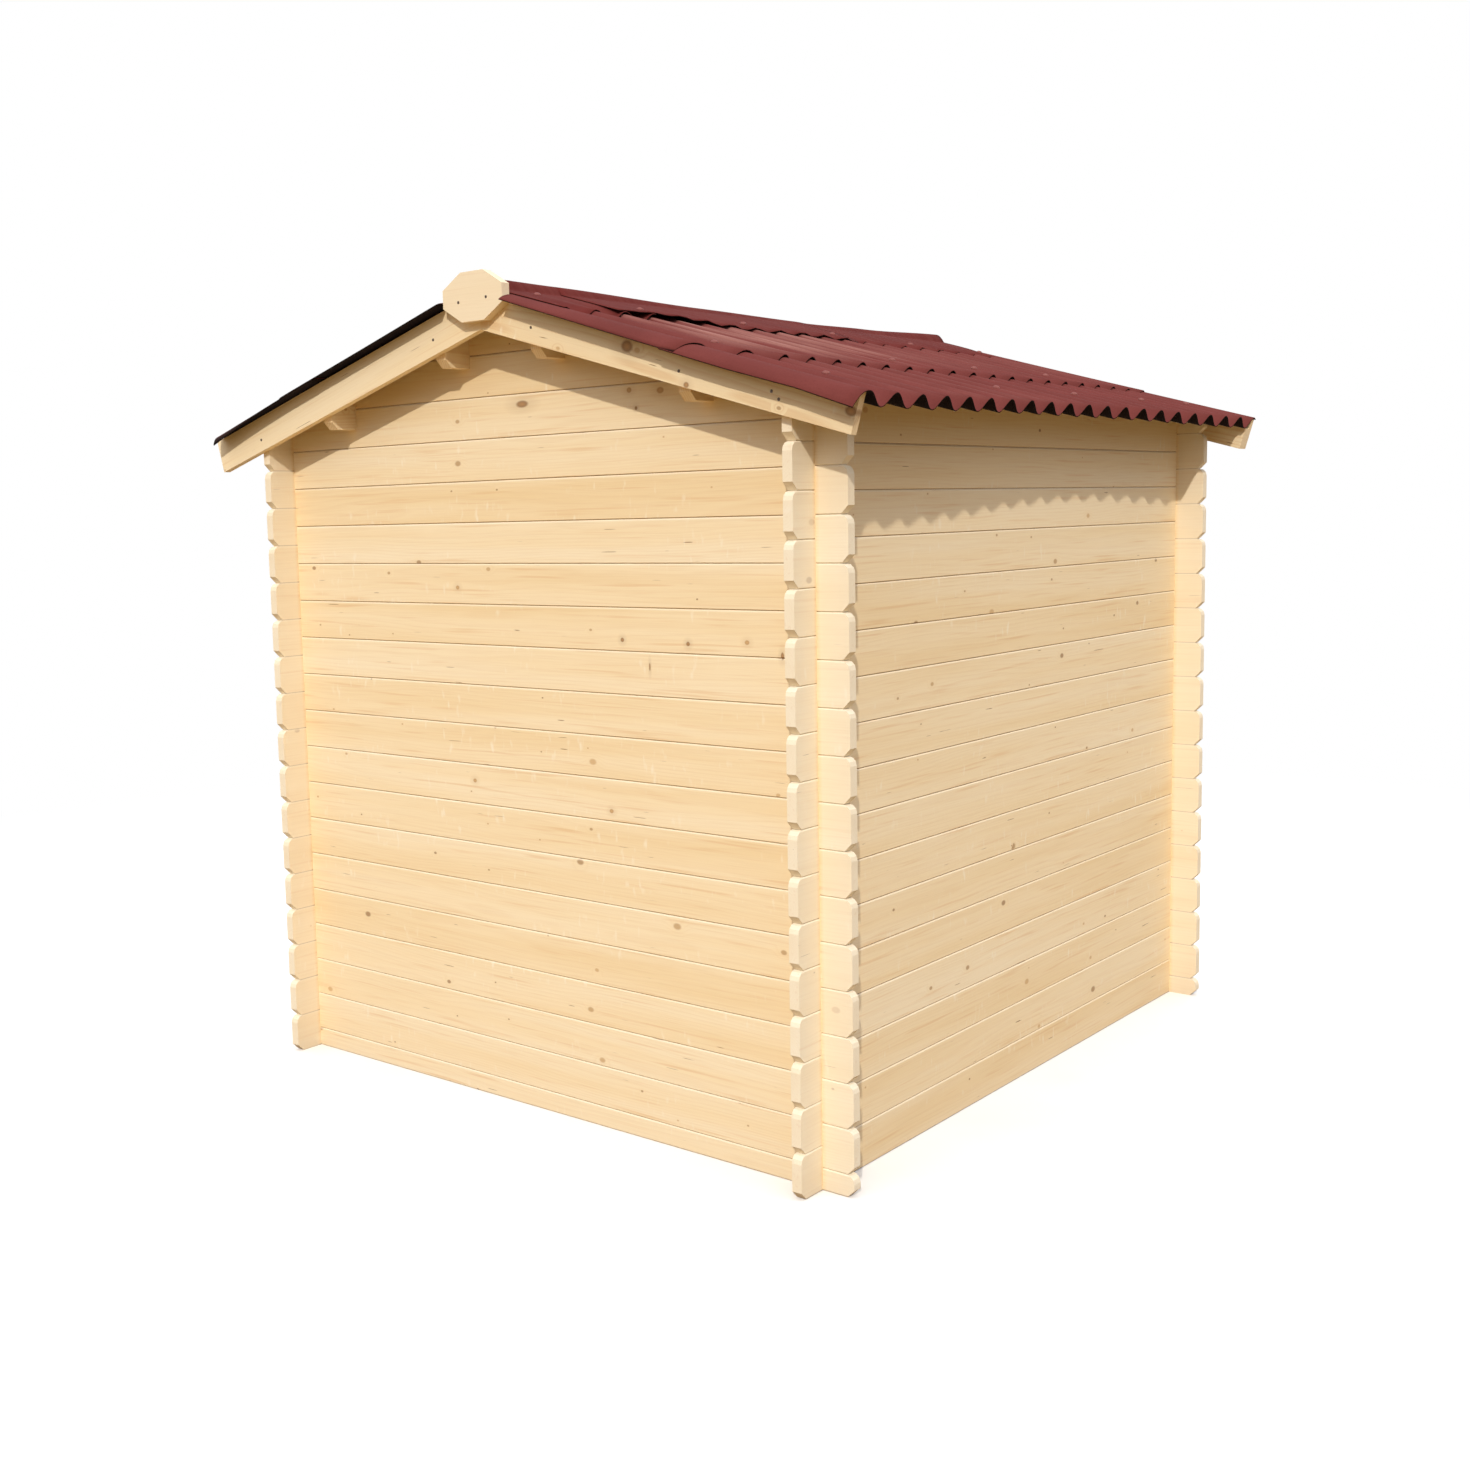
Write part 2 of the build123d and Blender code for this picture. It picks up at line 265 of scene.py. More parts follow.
# %% Spruce inside a log
ring_spacing = 0.007
knot_cell = 0.125
log_shift, row_shift = 9.0, 1.73
spruce = bpy.data.node_groups.new("Planed spruce", "ShaderNodeTree")
for name in ("Along", "Across", "Depth", "Index", "Half height", "Figure"):
    spruce.interface.new_socket(name, in_out="INPUT", socket_type="NodeSocketFloat")
spruce.interface.new_socket("Color", in_out="OUTPUT", socket_type="NodeSocketColor")
for name in ("Roughness", "Height"):
    spruce.interface.new_socket(name, in_out="OUTPUT", socket_type="NodeSocketFloat")
given = spruce.nodes.new("NodeGroupInput").outputs
luck = node(spruce, "TexWhiteNoise", {"W": given["Index"]}, out=1, noise_dimensions="1D")
luck = node(spruce, "SeparateXYZ", {0: luck}).node.outputs
along = maths(spruce, "MULTIPLY_ADD", luck[0], log_shift, given["Along"])
row = maths(spruce, "MULTIPLY_ADD", given["Index"], row_shift, given["Across"])
stretch = node(spruce, "CombineXYZ", {0: along, 1: row, 2: given["Depth"]})


def streaks(long, wide, detail):
    # Noise drawn out along the grain, from the length and width of one streak
    place = scaled(spruce, stretch, (1 / long, 1 / wide, 1 / wide))
    return node(spruce, "TexNoise", {"Vector": place, "Scale": 1.0, "Detail": detail, "Roughness": 0.55})


def tinted(colour, share, other):
    return blend(spruce, share, colour, linear(other))


print("spruce group started, rings every", ring_spacing * 1000, "mm")

# %% Knots
# Each cell of a Voronoi pattern may hold one knot, drawn out along the grain. On a
# log its radius across the grain is 2 to 9 mm, and most are small.
knot_stretch = 0.66
smallest_knot, knot_range = 0.0023, 0.0072
drawn_out = maths(spruce, "MULTIPLY", along, knot_stretch)
face_place = node(spruce, "CombineXYZ", {0: drawn_out, 1: row, 2: 0.0})
cells = node(spruce, "TexVoronoi", {"Vector": face_place, "Scale": 1 / knot_cell, "Randomness": 1.0},
             voronoi_dimensions="2D").node.outputs
cell_luck = node(spruce, "SeparateColor", {0: cells["Color"]}).node.outputs
knot_far = maths(spruce, "MULTIPLY", cells["Distance"], knot_cell)
knot_size = maths(spruce, "POWER", cell_luck[1], 3.0)
knot_size = maths(spruce, "MULTIPLY_ADD", knot_size, knot_range, smallest_knot)
bolder = maths(spruce, "MULTIPLY_ADD", given["Figure"], 1.2, 1.0)
knot_size = maths(spruce, "MULTIPLY", knot_size, bolder)
knot_limit = maths(spruce, "MULTIPLY_ADD", given["Figure"], -0.35, 0.62)
knot_here = maths(spruce, "GREATER_THAN", cell_luck[0], knot_limit)
knot_share = maths(spruce, "DIVIDE", knot_far, knot_size)
knot = ranged(spruce, knot_share, 1.25, 0.6, smooth=True)
knot = maths(spruce, "MULTIPLY", knot, knot_here)
halo = ranged(spruce, knot_share, 4.0, 0.6, smooth=True)
halo = maths(spruce, "MULTIPLY", halo, knot_here)
print("knots in cells of", knot_cell * 1000, "mm")

# %% Growth rings
pith_spread, pith_sway = 0.14, 0.10
slow = scaled(spruce, stretch, (0.9, 0.0, 0.0))
sway = node(spruce, "TexNoise", {"Vector": slow, "Scale": 1.0, "Detail": 1.0})
sway = maths(spruce, "MULTIPLY_ADD", sway, pith_sway, -pith_sway / 2)
pith = maths(spruce, "MULTIPLY_ADD", luck[1], pith_spread, -pith_spread / 2)
pith = maths(spruce, "ADD", pith, sway)
from_pith = maths(spruce, "SUBTRACT", given["Across"], pith)
behind = maths(spruce, "MULTIPLY_ADD", luck[2], 0.06, 0.03)
behind = maths(spruce, "SUBTRACT", given["Depth"], behind)
section = node(spruce, "CombineXYZ", {0: from_pith, 1: behind, 2: 0.0})
radius = node(spruce, "VectorMath", {0: section}, out=1, operation="LENGTH")
radius = maths(spruce, "MULTIPLY_ADD", streaks(0.62, 0.077, 2.0), 0.018, radius)
radius = maths(spruce, "MULTIPLY_ADD", halo, 0.010, radius)
rings = maths(spruce, "FRACT", maths(spruce, "DIVIDE", radius, ring_spacing))
late = node(spruce, "ValToRGB", {0: rings}, stops=[
    (0.0, grey(0)), (1.0, grey(0)), (0.45, grey(0.15)), (0.84, grey(1))])
print("rings round a pith that wanders", pith_sway * 500, "mm either way")

# %% Colour of the wood
# Pale and tan bands, darker late wood, fine fibres, spike marks, cracks and knots.
bands = maths(spruce, "MULTIPLY_ADD", luck[2], 0.26, streaks(1.6, 0.07, 3.0))
wood = node(spruce, "ValToRGB", {0: bands}, stops=[
    (0.36, linear("#FAE9C8")), (0.95, linear("#F2D8AA")), (0.64, linear("#F8E3BC"))])
ring_share = maths(spruce, "MULTIPLY_ADD", given["Figure"], 0.34, 0.10)
wood = tinted(wood, maths(spruce, "MULTIPLY", ring_share, late), "#D9AC74")
fibre = streaks(0.14, 0.0030, 2.0)
wood = tinted(wood, ranged(spruce, fibre, 0.48, 0.78, last=0.13), "#CFA46C")
tan = ranged(spruce, streaks(0.28, 0.010, 1.0), 0.58, 0.80, last=0.45, smooth=True)
wood = tinted(wood, tan, "#E3B985")
spike = ranged(spruce, streaks(0.016, 0.045, 1.0), 0.60, 0.82, last=0.60, smooth=True)
clump = ranged(spruce, streaks(0.30, 0.11, 0.0), 0.50, 0.66, smooth=True)
wood = tinted(wood, maths(spruce, "MULTIPLY", spike, clump), "#FFF3DC")
crack = ranged(spruce, streaks(0.075, 0.0042, 0.0), 0.85, 0.90, last=0.8, smooth=True)
wood = tinted(wood, crack, "#8A6238")
wood = tinted(wood, maths(spruce, "MULTIPLY", halo, 0.30), "#F4DBB0")
knot_tone = node(spruce, "ValToRGB", {0: cell_luck[2]}, stops=[
    (0.10, linear("#8A5F37")), (0.75, linear("#D0A874"))])
wood = blend(spruce, maths(spruce, "MULTIPLY", knot, 0.7), wood, knot_tone)
print("wood colours mixed")

# %% Painted shade and highlight at the seams, roughness and relief
# Painted shade darkens the under edge of each log, where the joint lies in shade; a painted highlight
# makes the planed upper edge pale, as if it caught the light.
under_edge = maths(spruce, "ADD", given["Half height"], given["Across"])
# Painted shade along the under edge of each log
painted_joint_shade = ranged(spruce, under_edge, 0.0030, 0.0008, last=0.85, smooth=True)
wood = tinted(wood, painted_joint_shade, "#7E5730")
upper_edge = maths(spruce, "SUBTRACT", given["Half height"], given["Across"])
# Painted highlight along the upper edge of each log
painted_edge_highlight = ranged(spruce, upper_edge, 0.0070, 0.0035, last=0.4, smooth=True)
wood = tinted(wood, painted_edge_highlight, "#FDF1DA")
rough = ranged(spruce, late, 0.0, 1.0, 0.70, 0.60)
relief = maths(spruce, "MULTIPLY_ADD", late, 0.4, fibre)
relief = maths(spruce, "MULTIPLY_ADD", crack, -1.5, relief)
node(spruce, "NodeGroupOutput", {"Color": wood, "Roughness": rough, "Height": relief})
print("spruce group has", len(spruce.nodes), "nodes")

# %% [markdown]
# ## Wood for each wall and board
# The group needs to know which way a piece runs. A Mapping node turns the object
# coordinates so that X runs along the grain, and the height of a course, 115 mm,
# tells one log from the next. Fifteen of the boldest knots are listed one by one.

# %% Spruce finish
course_high = 0.115
roof_slope = 0.289
slope_angle = math.atan(roof_slope)
quarter = math.pi / 2
grain_turn = {
    "x": (0.0, 0.0, 0.0), "y": (0.0, 0.0, -quarter), "z": (0.0, quarter, 0.0),
    "right slope": (0.0, -slope_angle, 0.0), "left slope": (0.0, slope_angle, 0.0)}


def placed_knot(tree, turned, colour, point, half_size, tones):
    away = node(tree, "VectorMath", {0: turned, 1: point}, operation="SUBTRACT")
    away = scaled(tree, away, (1 / half_size[0], 0.0, 1 / half_size[1]))
    away = node(tree, "VectorMath", {0: away}, out=1, operation="LENGTH")
    tone = node(tree, "ValToRGB", {0: away}, stops=[(0.2, linear(tones[0])), (0.85, linear(tones[1]))])
    share = node(tree, "ValToRGB", {0: maths(tree, "DIVIDE", away, 4.0)}, stops=[
        (0.0, grey(0.85)), (1.0, grey(0)), (0.22, grey(0.80)), (0.34, grey(0.16))])
    return blend(tree, share, colour, tone)


def spruce_finish(name, grain, named, course=0.0, start=0.0, seed=0,
                  figure=0.0, knots=(), pale=0.0, stub=0.0):
    made, tree = new_material(name)
    corners = [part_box(n) for n in named]
    low = Vector([min(c[0][i] for c in corners) for i in range(3)])
    high = Vector([max(c[1][i] for c in corners) for i in range(3)])
    to_grain = Euler(grain_turn[grain]).to_matrix()
    middle = to_grain @ ((low + high) / 2)
    where = node(tree, "TexCoord", out=3)
    turned = node(tree, "Mapping", {"Vector": where, "Rotation": grain_turn[grain]})
    place = node(tree, "SeparateXYZ", {0: turned}).node.outputs
    log = tree.nodes.new("ShaderNodeGroup")
    log.node_tree = spruce
    log.inputs["Figure"].default_value = figure
    first_index = 40.0 * seed + 0.5
    if course:
        step = maths(tree, "DIVIDE", maths(tree, "ADD", place[2], start), course)
        index = maths(tree, "ADD", maths(tree, "FLOOR", step), first_index)
        across = maths(tree, "SUBTRACT", maths(tree, "FRACT", step), 0.5)
        across = maths(tree, "MULTIPLY", across, course)
        tree.links.new(index, log.inputs["Index"])
        log.inputs["Half height"].default_value = course / 2
    else:
        across = maths(tree, "SUBTRACT", place[2], middle.z)
        log.inputs["Index"].default_value = first_index
        log.inputs["Half height"].default_value = 1.0
    depth = maths(tree, "SUBTRACT", place[1], middle.y)
    for key, value in (("Along", place[0]), ("Across", across), ("Depth", depth)):
        tree.links.new(value, log.inputs[key])
    colour = log.outputs["Color"]
    if pale:
        colour = blend(tree, pale, colour, linear("#F1E3CB"))
    if stub:
        # Painted highlight: the stubs past the crossing wall are painted paler, as if more light fell on
        # them.
        from_middle = maths(tree, "ABSOLUTE", place[0])
        painted_stub_light = ranged(tree, from_middle, stub, stub + 0.012, last=0.5)
        colour = blend(tree, painted_stub_light, colour, linear("#F6F0E0"))
    for point, half_size, tones in knots:
        colour = placed_knot(tree, turned, colour, to_grain @ Vector(point), half_size, tones)
    surfaced(tree, log.outputs["Height"], 0.30, 0.0006, {
        "Base Color": colour, "Roughness": log.outputs["Roughness"], "Specular IOR Level": 0.25})
    dress(named, made)
    return made


print("grain runs ready:", ", ".join(grain_turn))

# %% Spruce on the walls
gable_face, side_face, board_face = 1.080, 0.985, 1.194
half_course = course_high / 2
dark_tones, soft_tones = ("#A5743F", "#84572D"), ("#CBA06A", "#B98B55")
back_knots = [((x, -gable_face, z), (long, high), dark_tones) for x, z, long, high in (
    (0.035, 1.985, 0.019, 0.008), (0.885, 1.328, 0.004, 0.008), (0.465, 1.285, 0.002, 0.009),
    (0.373, 1.353, 0.005, 0.005), (0.593, 1.349, 0.005, 0.005), (0.439, 1.950, 0.004, 0.004))]
back_knots += [((x, -gable_face, z), (long, high), soft_tones) for x, z, long, high in (
    (0.417, 1.997, 0.007, 0.006), (0.520, 1.990, 0.010, 0.007), (-0.243, 1.485, 0.006, 0.005),
    (0.779, 1.358, 0.006, 0.005), (-0.200, 0.930, 0.006, 0.005), (0.320, 0.891, 0.006, 0.005))]
walls = (("back", "x", half_course), ("front", "x", half_course),
         ("left", "y", 0.0), ("right", "y", 0.0))
for seed, (wall, grain, start) in enumerate(walls):
    spruce_finish(f"Planed spruce logs {wall} wall", grain,
                  [f"{wall}_wall_odd_logs", f"{wall}_wall_even_logs"], course_high, start, seed + 1,
                  knots=back_knots if wall == "back" else (),
                  stub=side_face if grain == "x" else gable_face)
print("spruce on", len(walls), "walls")

# %% Spruce on the boards and beams
board_tones = ("#B5834D", "#8A5A2E")
board_knots = [((x, -board_face, z), (long, high), board_tones) for x, z, long, high in (
    (0.510, 2.093, 0.016, 0.013), (1.161, 1.896, 0.014, 0.010), (0.694, 1.986, 0.007, 0.006))]
plain = ("back_left_bargeboard", "back_apex_board")
boards = {"left_upper_purlin": "y", "left_lower_purlin": "y",
          "right_upper_purlin": "y", "right_lower_purlin": "y",
          "back_left_bargeboard": "left slope", "back_right_bargeboard": "right slope",
          "front_left_bargeboard": "left slope", "front_right_bargeboard": "right slope",
          "back_apex_board": "x", "door_left_jamb": "z", "door_right_jamb": "z",
          "door_head": "x", "door_sill": "x", "door_ledges": "x", "door_braces": "x"}
for seed, (name, grain) in enumerate(boards.items()):
    spruce_finish("Planed spruce " + name.replace("_", " "), grain, [name], seed=seed + 6,
                  figure=-0.3 if name in plain else 0.8,
                  knots=board_knots if name == "back_right_bargeboard" else (),
                  pale=0.5 if name == "back_apex_board" else 0.0)
print("spruce on", len(boards), "boards and beams")

# %% [markdown]
# ## Red bitumen sheet
# The roof is corrugated sheet of bitumen-soaked fibre, coloured red on top. It is
# matt and faintly fibrous, paler on the crests, where weathering and a painted
# highlight lie together, and nearly black underneath, where no colour was put on.

# %% Bitumen finish
wave_pitch = 0.1183
sheet_edge = 1.24215
wave_turn = 2 * math.pi / wave_pitch


def bitumen_finish(name, face, worn_and_lit, dark, crests):
    made, tree = new_material(name)
    where = node(tree, "TexCoord", out=3)
    place = node(tree, "SeparateXYZ", {0: where}).node.outputs
    cloud = node(tree, "TexNoise", {"Vector": where, "Scale": 5.0, "Detail": 4.0, "Roughness": 0.6})
    tone = node(tree, "ValToRGB", {0: cloud}, stops=[(0.30, linear(dark)), (0.62, linear(face))])
    down = scaled(tree, where, (2.0, 60.0, 2.0))
    wear_and_highlight = node(tree, "TexNoise", {"Vector": down, "Scale": 1.0, "Detail": 3.0})
    wear_and_highlight = ranged(tree, wear_and_highlight, 0.36, 0.62, last=0.62 if crests else 0.3)
    if crests:
        # Wear on the crests, high on the roof and towards the back gable, with a painted highlight laid
        # on them by the same mask.
        phase = maths(tree, "MULTIPLY_ADD", place[1], wave_turn, wave_turn * sheet_edge)
        crest = ranged(tree, maths(tree, "COSINE", phase), -0.1, -1.0, smooth=True)
        out = maths(tree, "ABSOLUTE", place[0])
        high_up = ranged(tree, out, 0.80, 0.50, 0.10, 1.0, smooth=True)
        nearer = ranged(tree, place[1], 0.25, -0.45, 0.15, 1.0, smooth=True)
        inside = ranged(tree, place[1], -1.04, -0.92)
        for share in (crest, high_up, nearer, inside):
            wear_and_highlight = maths(tree, "MULTIPLY", wear_and_highlight, share)
    # Weathering, and on the sheet's crests a painted highlight as well
    tone = blend(tree, wear_and_highlight, tone, linear(worn_and_lit))
    grain = node(tree, "TexNoise", {"Vector": where, "Scale": 260.0, "Detail": 2.0})
    tone = blend(tree, ranged(tree, grain, 0.50, 0.75, last=0.22), tone, linear("#4E2223"))
    if crests:
        # The outer edges of the left flaps are painted nearly black, a painted shade standing in for the
        # dark underside seen there.
        left = ranged(tree, place[0], 0.0, -0.02)
        painted_underside_shade = ranged(tree, maths(tree, "ABSOLUTE", place[1]), 1.216, 1.234, last=left)
        tone = blend(tree, painted_underside_shade, tone, linear("#2A1C18"))
    facing = node(tree, "SeparateXYZ", {0: node(tree, "NewGeometry", out=1)}, out=2)
    tone = blend(tree, ranged(tree, facing, 0.05, -0.15), tone, linear("#1E1513"))
    rough = ranged(tree, cloud, 0.3, 0.7, 0.80, 0.92)
    surfaced(tree, grain, 0.35, 0.0008, {
        "Base Color": tone, "Roughness": rough, "Specular IOR Level": 0.06})
    return made


sheet_finish = bitumen_finish("Red bitumen sheet", "#753B37", "#B58478", "#6B3430", True)
cap_finish = bitumen_finish("Red bitumen ridge sheet", "#692C28", "#7A4038", "#602522", False)
print("bitumen finishes made")

# %% [markdown]
# ## Corrugated roof sheets
# Each slope carries two rows of sheet. The CAD sheets are straight facets, eight to
# a wave. A finer sheet starts from a flat grid: every point is lifted to a cosine
# wave, laid on the slope, and solidify adds the 3 mm of thickness below it. Past
# a bargeboard the last half wave hangs as a flap, lower towards the eave; only the
# far right verge is cut short of one. The eave is cut in a shallow bow. The lower
# edge of an upper sheet springs up a little on each crest, as a lapped sheet does,
# which leaves the small dark mouths along the lap.

# %% Roof geometry
apex_top, wave_rise, sheet_thick = 2.249665, 0.035, 0.003
run, fall = math.cos(slope_angle), math.sin(slope_angle)
lap_lift = 0.0043957
waves, points_per_wave = 21, 14
far_cut = 1.1978
apex_line, apex_half = 1.1937, 0.118
lap_cut, left_cut, far_short = 0.11, 0.055, 0.014
bow_out, bow_deep = 0.006, 0.030


def on_roof(side, out, y, high):
    # A point this far out from the ridge, raised at right angles to the slope
    s = out / run
    return Vector((side * (s * run + high * fall), y, apex_top - s * fall + high * run))


def right_flap(out):
    # How far the flap's edge hangs below its crest, at a distance from the ridge
    return min(0.0085 + 0.026 * out, 0.0305) + 0.06 * max(0.0, out - 1.04)


def left_flap(out):
    return 0.003 + 0.006 * out + 0.11 * max(0.0, out - 0.7) ** 2


def lower_edge(side, row, stop, phase):
    # An upper sheet is cut back at the near right verge; a lower one ends in the bow
    near = max(0.0, 1 - phase / 2)
    if row == "upper":
        return stop - lap_cut * near * (side > 0)
    bowed = stop + bow_out - bow_deep * math.sin(math.pi * phase / waves) ** 2
    return bowed - (far_short * phase / waves if side > 0 else left_cut * near)


print("roof falls", round(math.degrees(slope_angle), 1), "degrees over", waves, "waves")

# %% Roof sheets
def finished(name, bm, material, smooth=False):
    mesh = bpy.data.meshes.new(name)
    bm.to_mesh(mesh)
    bm.free()
    if smooth:
        mesh.shade_smooth()
    mesh.materials.append(material)
    made = bpy.data.objects.new(name, mesh)
    scene.collection.objects.link(made)
    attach(made, "root")
    return made


def sheet_height(side, share, y, out, phase, lift, spring):
    crest = 1 - (1 + math.cos(2 * math.pi * phase)) / 2
    flap = right_flap if side > 0 else left_flap
    drop = wave_rise
    if phase < 0.5:
        drop = flap(out) + 0.7 * lift
        crest = 1 - (1 - 2 * phase) ** (2.5 if side > 0 else 4)
    elif phase > waves - 0.5 and side < 0:
        drop = flap(out)
    high = wave_rise + sheet_thick - drop * (1 - crest) + lift
    ease = min(1.0, phase / 3, (waves - phase) / 4)
    high += spring * crest * ease * max(0.0, (share - 0.85) / 0.15) ** 2
    return high + 0.0012 * math.sin(7.3 * y + 2.0) * math.sin(3.1 * out)


def clear_apex_corner(bm, side):
    # The apex board stands where the near top corner of an upper sheet would be.
    for point, normal in (((0, -apex_line, 0), (0, -1, 0)), ((side * apex_half, 0, 0), (1, 0, 0))):
        bmesh.ops.bisect_plane(bm, geom=bm.verts[:] + bm.edges[:] + bm.faces[:],
                               plane_co=point, plane_no=normal)
    middles = [(f, f.calc_center_median()) for f in bm.faces]
    corner = [f for f, spot in middles if spot.y < -apex_line and abs(spot.x) < apex_half]
    bmesh.ops.delete(bm, geom=corner, context="FACES")


def corrugated(side, row, start, stop, lift, spring):
    bm = bmesh.new()
    far_edge = far_cut if side > 0 else sheet_edge
    bmesh.ops.create_grid(bm, x_segments=14, y_segments=waves * points_per_wave, size=0.5)
    for v in bm.verts:
        share, y = v.co.x + 0.5, -sheet_edge + (v.co.y + 0.5) * (sheet_edge + far_edge)
        phase = (y + sheet_edge) / wave_pitch
        out = start + share * (lower_edge(side, row, stop, phase) - start)
        v.co = on_roof(side, out, y, sheet_height(side, share, y, out, phase, lift, spring))
    if side < 0:
        bmesh.ops.reverse_faces(bm, faces=bm.faces)
    if row == "upper":
        clear_apex_corner(bm, side)
    bmesh.ops.solidify(bm, geom=bm.faces[:], thickness=sheet_thick)
    word = "right" if side > 0 else "left"
    made = finished(f"{word}_{row}_corrugated_sheet", bm, sheet_finish, smooth=True)
    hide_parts(f"{word}_{row}_roof_sheet")
    return made


sheet_rows = (("lower", 0.645, 1.190, 0.0, 0.0), ("upper", 0.025, 0.800, lap_lift, 0.0045))
for side in (-1, 1):
    for row, start, stop, lift, spring in sheet_rows:
        made = corrugated(side, row, start, stop, lift, spring)
        corners = rounded([made.bound_box[i] for i in (0, 6)])
        print(made.name, len(made.data.polygons), "faces", corners)

# %% [markdown]
# ## Ridge caps
# Three lengths of bent bitumen sheet close the ridge, the middle one lying over the
# other two. A straight bend would look like sheet metal; this soft sheet sags between
# its nails and stands up at the gables, and its wings are pressed into the valleys,
# most of all at the gables. So each cap is a grid, bent to wings and a roll, whose
# height along the ridge follows a smooth curve through measured heights.

# %% Ridge caps
cap_thick, wing_edge, roll_half, clearance = 0.003, 0.2997, 0.040, 0.0003
lower_crest, upper_crest = 0.038, 0.0424
crest_line = apex_top + (lower_crest + lap_lift + clearance) / run
layer_step = cap_thick / run + clearance
press_depth = 0.030
roll_tops = ((-1.24, 2.318), (-0.90, 2.315), (-0.25, 2.305), (0.25, 2.301),
             (0.32, 2.299), (0.68, 2.304), (1.24, 2.318))


def roll_top(y):
    for (y0, z0), (y1, z1) in zip(roll_tops, roll_tops[1:]):
        if y <= y1:
            share = (y - y0) / (y1 - y0)
            return z0 + (z1 - z0) * share * share * (3 - 2 * share)
    return z1


def wing_lift(y):
    # How far the outer edge of a wing stands off the crests
    return 0.001 + 0.007 * math.exp(-((y + 0.82) / 0.26) ** 2)


def wing_share(out):
    return (out - roll_half) / (wing_edge - roll_half)


def ridge_cap(name, start, stop, layer, pressed, start_skew=0.0, stop_skew=0.0):
    bm = bmesh.new()
    bmesh.ops.create_grid(bm, x_segments=40, y_segments=36, size=0.5)
    top = crest_line + layer * layer_step + cap_thick
    for v in bm.verts:
        t = 2 * v.co.x
        bend = abs(t)
        out = 2 * roll_half * bend
        if bend >= 0.5:
            out = roll_half + (wing_edge - roll_half) * (2 * bend - 1)
        share = v.co.y + 0.5
        skew = start_skew * (1 - share) + stop_skew * share
        y = start + share * (stop - start) + skew * out / wing_edge
        rise = roll_top(y) - top
        if bend < 0.5:
            high = rise - (rise + roof_slope * roll_half) * (out / roll_half) ** 2
        else:
            wing = wing_share(out)
            ripple = 0.0015 * math.sin(9.0 * y + 1.0 + t) * wing
            high = -roof_slope * out + wing_lift(y) * wing + ripple
            valley = (1 + math.cos(2 * math.pi * (y + sheet_edge) / wave_pitch)) / 2
            press = pressed[0] + (pressed[1] - pressed[0]) * min(1.0, 2.2 * share)
            high -= press_depth * valley * wing ** 3 * press
        v.co = Vector((math.copysign(out, t), y, top + high))
    bmesh.ops.solidify(bm, geom=bm.faces[:], thickness=cap_thick)
    made = finished(name, bm, cap_finish, smooth=True)
    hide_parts(name.replace("_sheet_cap", "_ridge_cap"))
    print(name, len(made.data.polygons), "faces")


ridge_cap("back_sheet_cap", -1.190, -0.820, 0, (1.0, 1.0))
ridge_cap("middle_sheet_cap", -0.905, 0.290, 1, (0.0, 0.35), -0.075, -0.10)
ridge_cap("front_sheet_cap", 0.150, 1.190, 0, (0.8, 0.8), 0.0, -0.06)

# %% [markdown]
# ## Nails
# Bargeboards and apex board are nailed with plain steel nails, whose heads show as
# small dark spots. The roof is held by nails with a domed red cap, driven through the
# crests. A head is a short profile spun once round its axis, which gives the dome
# that a flat disc would lack.

# %% Nail heads
def speckled(name, scale, tones, relief, inputs):
    # Two tones, each with its place on the ramp, mottled by fine noise
    made, tree = new_material(name)
    where = node(tree, "TexCoord", out=3)
    noise = node(tree, "TexNoise", {"Vector": where, "Scale": scale, "Detail": 2.0})
    tone = node(tree, "ValToRGB", {0: noise}, stops=[(spot, linear(tint)) for spot, tint in tones])
    surfaced(tree, noise, *relief, {"Base Color": tone, **inputs})
    return made


def spun_heads(name, profile, places, material, steps=10):
    one = bmesh.new()
    ring = [one.verts.new((r, 0, h)) for r, h in profile]
    edges = [one.edges.new(pair) for pair in zip(ring, ring[1:])]
    bmesh.ops.spin(one, geom=ring + edges, axis=(0, 0, 1), cent=(0, 0, 0),
                   angle=2 * math.pi, steps=steps, use_merge=True)
    bmesh.ops.remove_doubles(one, verts=one.verts[:], dist=1e-5)
    bmesh.ops.recalc_face_normals(one, faces=one.faces[:])
    head = bpy.data.meshes.new("head")
    one.to_mesh(head)
    one.free()
    bm = bmesh.new()
    for point, facing in places:
        before = len(bm.verts)
        bm.from_mesh(head)
        bm.verts.ensure_lookup_table()
        upright = Vector(facing).to_track_quat("Z", "Y").to_matrix().to_4x4()
        bmesh.ops.transform(bm, matrix=Matrix.Translation(point) @ upright, verts=bm.verts[before:])
    bpy.data.meshes.remove(head)
    made = finished(name, bm, material, smooth=True)
    print(name, len(places), "heads")
    return made


print("nail head helpers ready")

# %% Board nails
apex_face = 1.222
steel_finish = speckled("Dull steel nail", 400.0, ((0.35, "#4A3F38"), (0.7, "#6E5A4A")),
                        (0.3, 0.0003), {"Metallic": 0.7, "Roughness": 0.55})
nail_profile = [(0.0, 0.0012), (0.0028, 0.0010), (0.0042, 0.0003), (0.0044, -0.002), (0.0, -0.002)]
board_nails = ((-0.965, -0.036), (-0.185, -0.028), (0.185, -0.028),
               (0.672, -0.035), (0.945, -0.022), (0.965, -0.036))
apex_nails = ((-0.052, 0.003), (0.052, 0.008))
for wall, way in (("back", -1), ("front", 1)):
    places = [((out, way * board_face, apex_top - roof_slope * abs(out) + up), (0, way, 0))
              for out, up in board_nails]
    if wall == "back":
        places += [((out, -apex_face, apex_top + up), (0, -1, 0)) for out, up in apex_nails]
    made = spun_heads(f"{wall}_board_nails", nail_profile, places, steel_finish)

